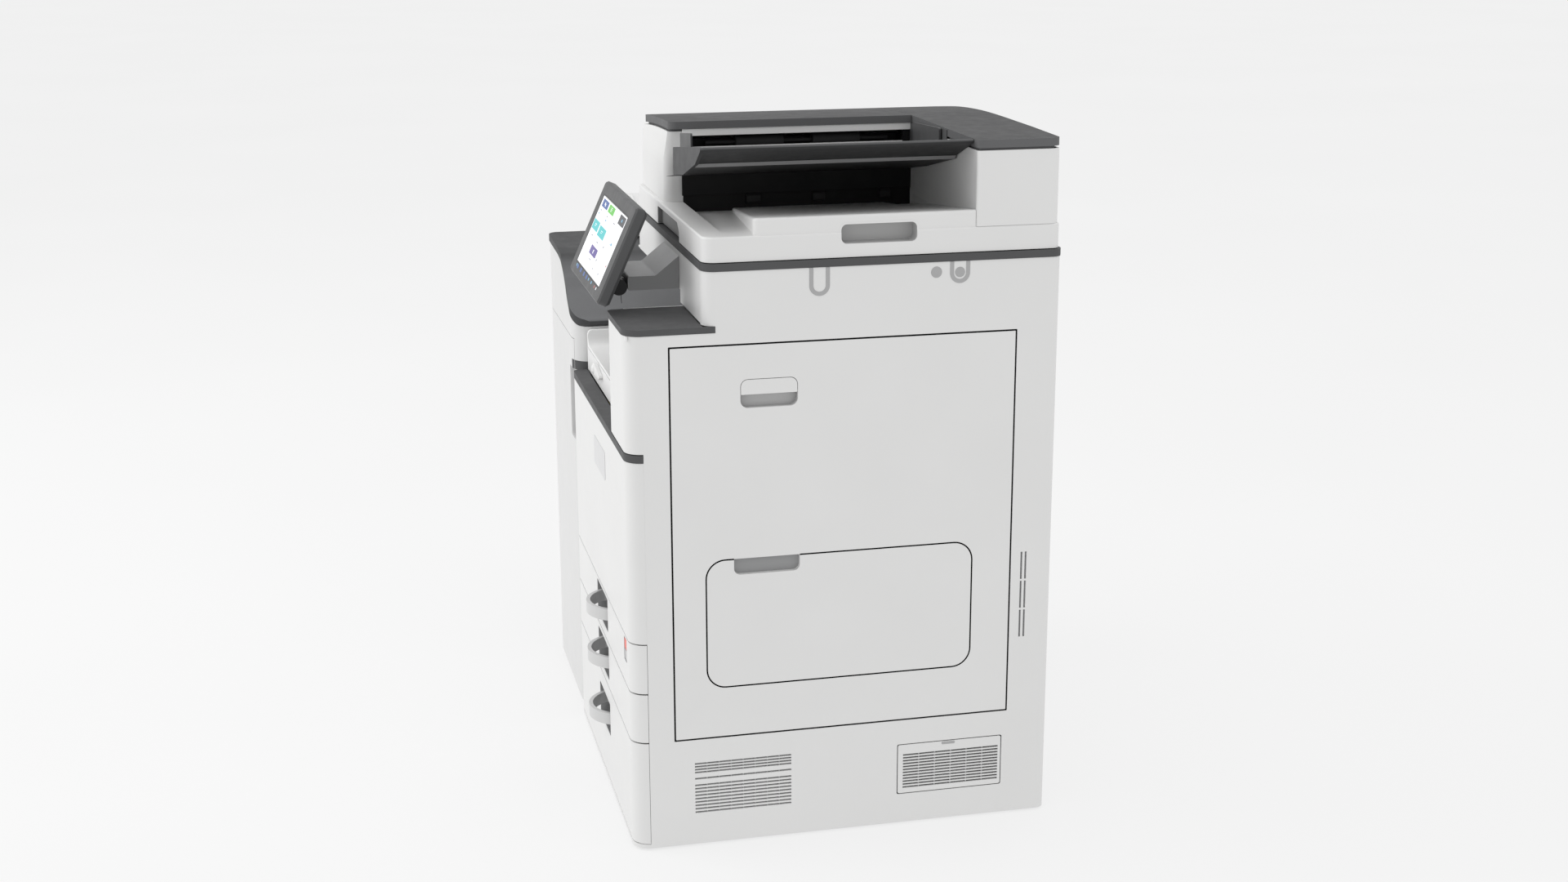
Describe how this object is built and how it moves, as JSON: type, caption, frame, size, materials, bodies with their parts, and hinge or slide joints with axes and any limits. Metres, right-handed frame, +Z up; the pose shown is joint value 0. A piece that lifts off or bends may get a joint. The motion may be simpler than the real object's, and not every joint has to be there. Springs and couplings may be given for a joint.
{
  "type": "photocopier",
  "caption": "Floor-standing office photocopier with paper drawers, side door with bypass tray, tilting operation panel, flatbed scanner under a document feeder, and a docked finisher.",
  "frame": {"origin": "centre of the bounding box's base, on the floor that the levelling feet stand on", "axes": "+X to the copier's right (the side door and bypass tray), +Y to the rear, +Z up"},
  "size_m": [1.1468, 0.7132, 1.108],
  "materials": {
    "white_casing": "fine textured off-white moulded plastic",
    "dark_trim": "fine textured dark grey moulded plastic",
    "mid_grey": "mid grey moulded plastic",
    "black_plastic": "black moulded plastic",
    "steel": "zinc coated sheet steel",
    "glass": "clear float glass",
    "screen": "glossy touch panel",
    "rubber": "black rubber",
    "drum_coating": "glossy photoconductor coating",
    "belt": "semi gloss polyimide belt",
    "roller_rubber": "silicone roller sleeve",
    "foam_pad": "white foam backed pad",
    "circuit": "circuit board and power supply",
    "cartridge": "toner cartridge plastic"
  },
  "bodies": {
    "cabinet": {"main_frame": "steel", "levelling_feet": "rubber", "right_cover": "white_casing", "filter_cover": "white_casing", "left_cover": "white_casing", "rear_cover": "white_casing", "power_inlet": "black_plastic", "rear_electronics": "circuit", "laser_unit": "steel", "toner_cartridges": "cartridge", "transfer_belt_unit": "belt", "fuser_housing": "steel", "output_tray_liner": "white_casing", "shelf_plate": "dark_trim", "scanner_casing": "white_casing", "scanner_trim_frame": "dark_trim", "platen_glass": "glass", "panel_arm": "dark_trim", "finisher_body": "white_casing", "finisher_top_plate": "dark_trim", "proof_tray": "white_casing"},
    "drawer_1": {"tray_1_front": "white_casing", "tray_1_handle": "mid_grey", "tray_1_bin": "mid_grey"},
    "drawer_2": {"tray_2_front": "white_casing", "tray_2_handle": "mid_grey", "tray_2_bin": "mid_grey"},
    "drawer_3": {"tray_3_front": "white_casing", "tray_3_handle": "mid_grey", "tray_3_bin": "mid_grey"},
    "front_door": {"front_cover": "white_casing", "front_trim_strip": "dark_trim"},
    "side_door": {"side_door": "white_casing"},
    "side_door_grip": {"door_grip": "white_casing"},
    "bypass_tray": {"bypass_tray": "white_casing"},
    "bypass_extension": {"bypass_extension": "mid_grey"},
    "bypass_guide_front": {"bypass_guide_front": "mid_grey"},
    "bypass_guide_rear": {"bypass_guide_rear": "mid_grey"},
    "operation_panel": {"panel_housing": "dark_trim", "touch_screen": "screen", "panel_hinge": "black_plastic"},
    "drum_yellow": {"drum_yellow": "drum_coating"},
    "drum_magenta": {"drum_magenta": "drum_coating"},
    "drum_cyan": {"drum_cyan": "drum_coating"},
    "drum_black": {"drum_black": "drum_coating"},
    "fuser_roller": {"fuser_roller": "roller_rubber"},
    "pressure_roller": {"pressure_roller": "roller_rubber"},
    "scan_carriage": {"scan_carriage": "black_plastic"},
    "mirror_carriage": {"mirror_carriage": "black_plastic"},
    "document_feeder": {"adf_base": "white_casing", "platen_pad": "foam_pad", "adf_housing": "white_casing", "adf_rear_top": "dark_trim"},
    "feed_cover": {"adf_feed_cover": "dark_trim"},
    "document_tray": {"doc_tray": "dark_trim"},
    "doc_guide_front": {"doc_guide_front": "mid_grey"},
    "doc_guide_rear": {"doc_guide_rear": "mid_grey"},
    "feed_roller": {"feed_roller": "rubber"},
    "finisher_door": {"finisher_door": "white_casing"},
    "shift_tray": {"shift_tray": "mid_grey"}
  },
  "joints": [
    {"name": "drawer_1_slide", "type": "slide", "parent": "cabinet", "child": "drawer_1", "axis": [0, -1, 0], "range_m": [0, 0.42]},
    {"name": "drawer_2_slide", "type": "slide", "parent": "cabinet", "child": "drawer_2", "axis": [0, -1, 0], "range_m": [0, 0.42]},
    {"name": "drawer_3_slide", "type": "slide", "parent": "cabinet", "child": "drawer_3", "axis": [0, -1, 0], "range_m": [0, 0.42]},
    {"name": "front_door_hinge", "type": "hinge", "parent": "cabinet", "child": "front_door", "pos_m": [0.27874, -0.3281, 0.3485], "axis": [1, 0, 0], "range_deg": [0, 85]},
    {"name": "side_door_hinge", "type": "hinge", "parent": "cabinet", "child": "side_door", "pos_m": [0.57073, 0.0109, 0.1845], "axis": [0, 1, 0], "range_deg": [0, 70]},
    {"name": "side_door_grip_pull", "type": "hinge", "parent": "side_door", "child": "side_door_grip", "pos_m": [0.57073, -0.10885, 0.757], "axis": [0, -1, 0], "range_deg": [0, 20], "stiffness_Nm_per_rad": 0.2},
    {"name": "bypass_tray_hinge", "type": "hinge", "parent": "side_door", "child": "bypass_tray", "pos_m": [0.57124, 0.0049, 0.2685], "axis": [0, 1, 0], "range_deg": [0, 75]},
    {"name": "bypass_extension_slide", "type": "slide", "parent": "bypass_tray", "child": "bypass_extension", "axis": [0, 0, 1], "range_m": [0, 0.12]},
    {"name": "bypass_guide_front_slide", "type": "slide", "parent": "bypass_tray", "child": "bypass_guide_front", "axis": [0, 1, 0], "range_m": [0, 0.1]},
    {"name": "bypass_guide_rear_slide", "type": "slide", "parent": "bypass_tray", "child": "bypass_guide_rear", "axis": [0, 1, 0], "range_m": [-0.1, 0]},
    {"name": "panel_tilt", "type": "hinge", "parent": "cabinet", "child": "operation_panel", "pos_m": [0.31523, -0.3056, 0.872], "axis": [1, 0, 0], "range_deg": [-25, 20]},
    {"name": "drum_black_spin", "type": "hinge", "parent": "cabinet", "child": "drum_black", "pos_m": [0.39224, 0.0154, 0.5], "axis": [0, 1, 0], "continuous": true},
    {"name": "drum_cyan_spin", "type": "hinge", "parent": "cabinet", "child": "drum_cyan", "pos_m": [0.29224, 0.0154, 0.5], "axis": [0, 1, 0], "continuous": true},
    {"name": "drum_magenta_spin", "type": "hinge", "parent": "cabinet", "child": "drum_magenta", "pos_m": [0.19223, 0.0154, 0.5], "axis": [0, 1, 0], "continuous": true},
    {"name": "drum_yellow_spin", "type": "hinge", "parent": "cabinet", "child": "drum_yellow", "pos_m": [0.09223, 0.0154, 0.5], "axis": [0, 1, 0], "continuous": true},
    {"name": "pressure_roller_spin", "type": "hinge", "parent": "cabinet", "child": "pressure_roller", "pos_m": [0.48884, 0.0404, 0.612], "axis": [0, 1, 0], "continuous": true},
    {"name": "fuser_roller_spin", "type": "hinge", "parent": "cabinet", "child": "fuser_roller", "pos_m": [0.45764, 0.0404, 0.612], "axis": [0, 1, 0], "continuous": true},
    {"name": "scan_carriage_travel", "type": "slide", "parent": "cabinet", "child": "scan_carriage", "axis": [1, 0, 0], "range_m": [0, 0.4]},
    {"name": "mirror_carriage_travel", "type": "slide", "parent": "cabinet", "child": "mirror_carriage", "axis": [1, 0, 0], "range_m": [0, 0.2]},
    {"name": "document_feeder_lift", "type": "hinge", "parent": "cabinet", "child": "document_feeder", "pos_m": [0.27874, 0.3529, 0.941], "axis": [-1, 0, 0], "range_deg": [0, 65]},
    {"name": "feed_cover_hinge", "type": "hinge", "parent": "document_feeder", "child": "feed_cover", "pos_m": [-0.01277, 0.0044, 1.081], "axis": [0, -1, 0], "range_deg": [0, 60]},
    {"name": "document_tray_lift", "type": "hinge", "parent": "document_feeder", "child": "document_tray", "pos_m": [0.22323, 0.0054, 1.057], "axis": [0, -1, 0], "range_deg": [0, 30]},
    {"name": "doc_guide_front_slide", "type": "slide", "parent": "document_tray", "child": "doc_guide_front", "axis": [0, 1, 0], "range_m": [0, 0.13]},
    {"name": "doc_guide_rear_slide", "type": "slide", "parent": "document_tray", "child": "doc_guide_rear", "axis": [0, 1, 0], "range_m": [-0.13, 0]},
    {"name": "feed_roller_spin", "type": "hinge", "parent": "document_feeder", "child": "feed_roller", "pos_m": [0.19723, 0.0254, 1.07], "axis": [0, 1, 0], "continuous": true},
    {"name": "finisher_door_hinge", "type": "hinge", "parent": "cabinet", "child": "finisher_door", "pos_m": [-0.34176, -0.3076, 0.355], "axis": [0, 0, -1], "range_deg": [0, 100]},
    {"name": "shift_tray_travel", "type": "slide", "parent": "cabinet", "child": "shift_tray", "axis": [0, 0, -1], "range_m": [0, 0.3]}
  ],
  "couplings": [
    {"joint": "bypass_guide_rear_slide", "follows": "bypass_guide_front_slide", "ratio": -1},
    {"joint": "doc_guide_rear_slide", "follows": "doc_guide_front_slide", "ratio": -1},
    {"joint": "drum_cyan_spin", "follows": "drum_black_spin", "ratio": 1},
    {"joint": "drum_magenta_spin", "follows": "drum_black_spin", "ratio": 1},
    {"joint": "drum_yellow_spin", "follows": "drum_black_spin", "ratio": 1},
    {"joint": "fuser_roller_spin", "follows": "pressure_roller_spin", "ratio": -1.1429},
    {"joint": "mirror_carriage_travel", "follows": "scan_carriage_travel", "ratio": 0.5}
  ]
}
